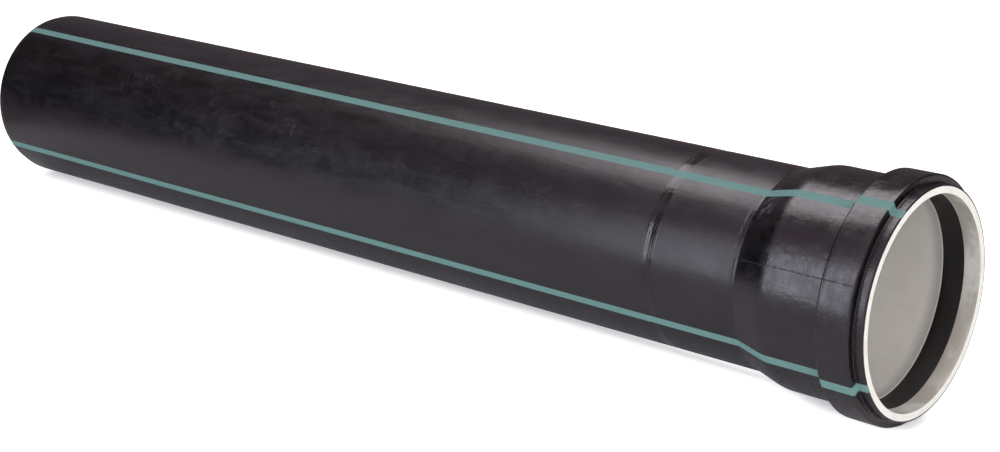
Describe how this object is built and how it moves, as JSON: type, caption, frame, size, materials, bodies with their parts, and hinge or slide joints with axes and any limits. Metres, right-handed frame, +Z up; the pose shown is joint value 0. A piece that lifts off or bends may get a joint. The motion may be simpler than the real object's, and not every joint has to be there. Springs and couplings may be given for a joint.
{
  "type": "socketed drain pipe",
  "caption": "Rigid plastic drain pipe lying on its side, with an integral ring-seal socket at one end and a chamfered plain spigot at the other.",
  "frame": {"origin": "centre of the bounding box's footprint, on the floor that the pipe lies on", "axes": "+X along the pipe's length towards the socket mouth, +Z up; the pipe's axis tips up towards the socket by the angle at which it lies on its seal housing and its spigot rim"},
  "size_m": [1.0024, 0.1902, 0.1905],
  "materials": {
    "pipe_plastic": "co-extruded plastic: thin black outer skin with four lengthwise teal stripes, pale grey wall and inside",
    "seal_rubber": "black sealing rubber"
  },
  "bodies": {
    "root": {"pipe": "pipe_plastic", "seal_ring": "seal_rubber"}
  },
  "joints": []
}
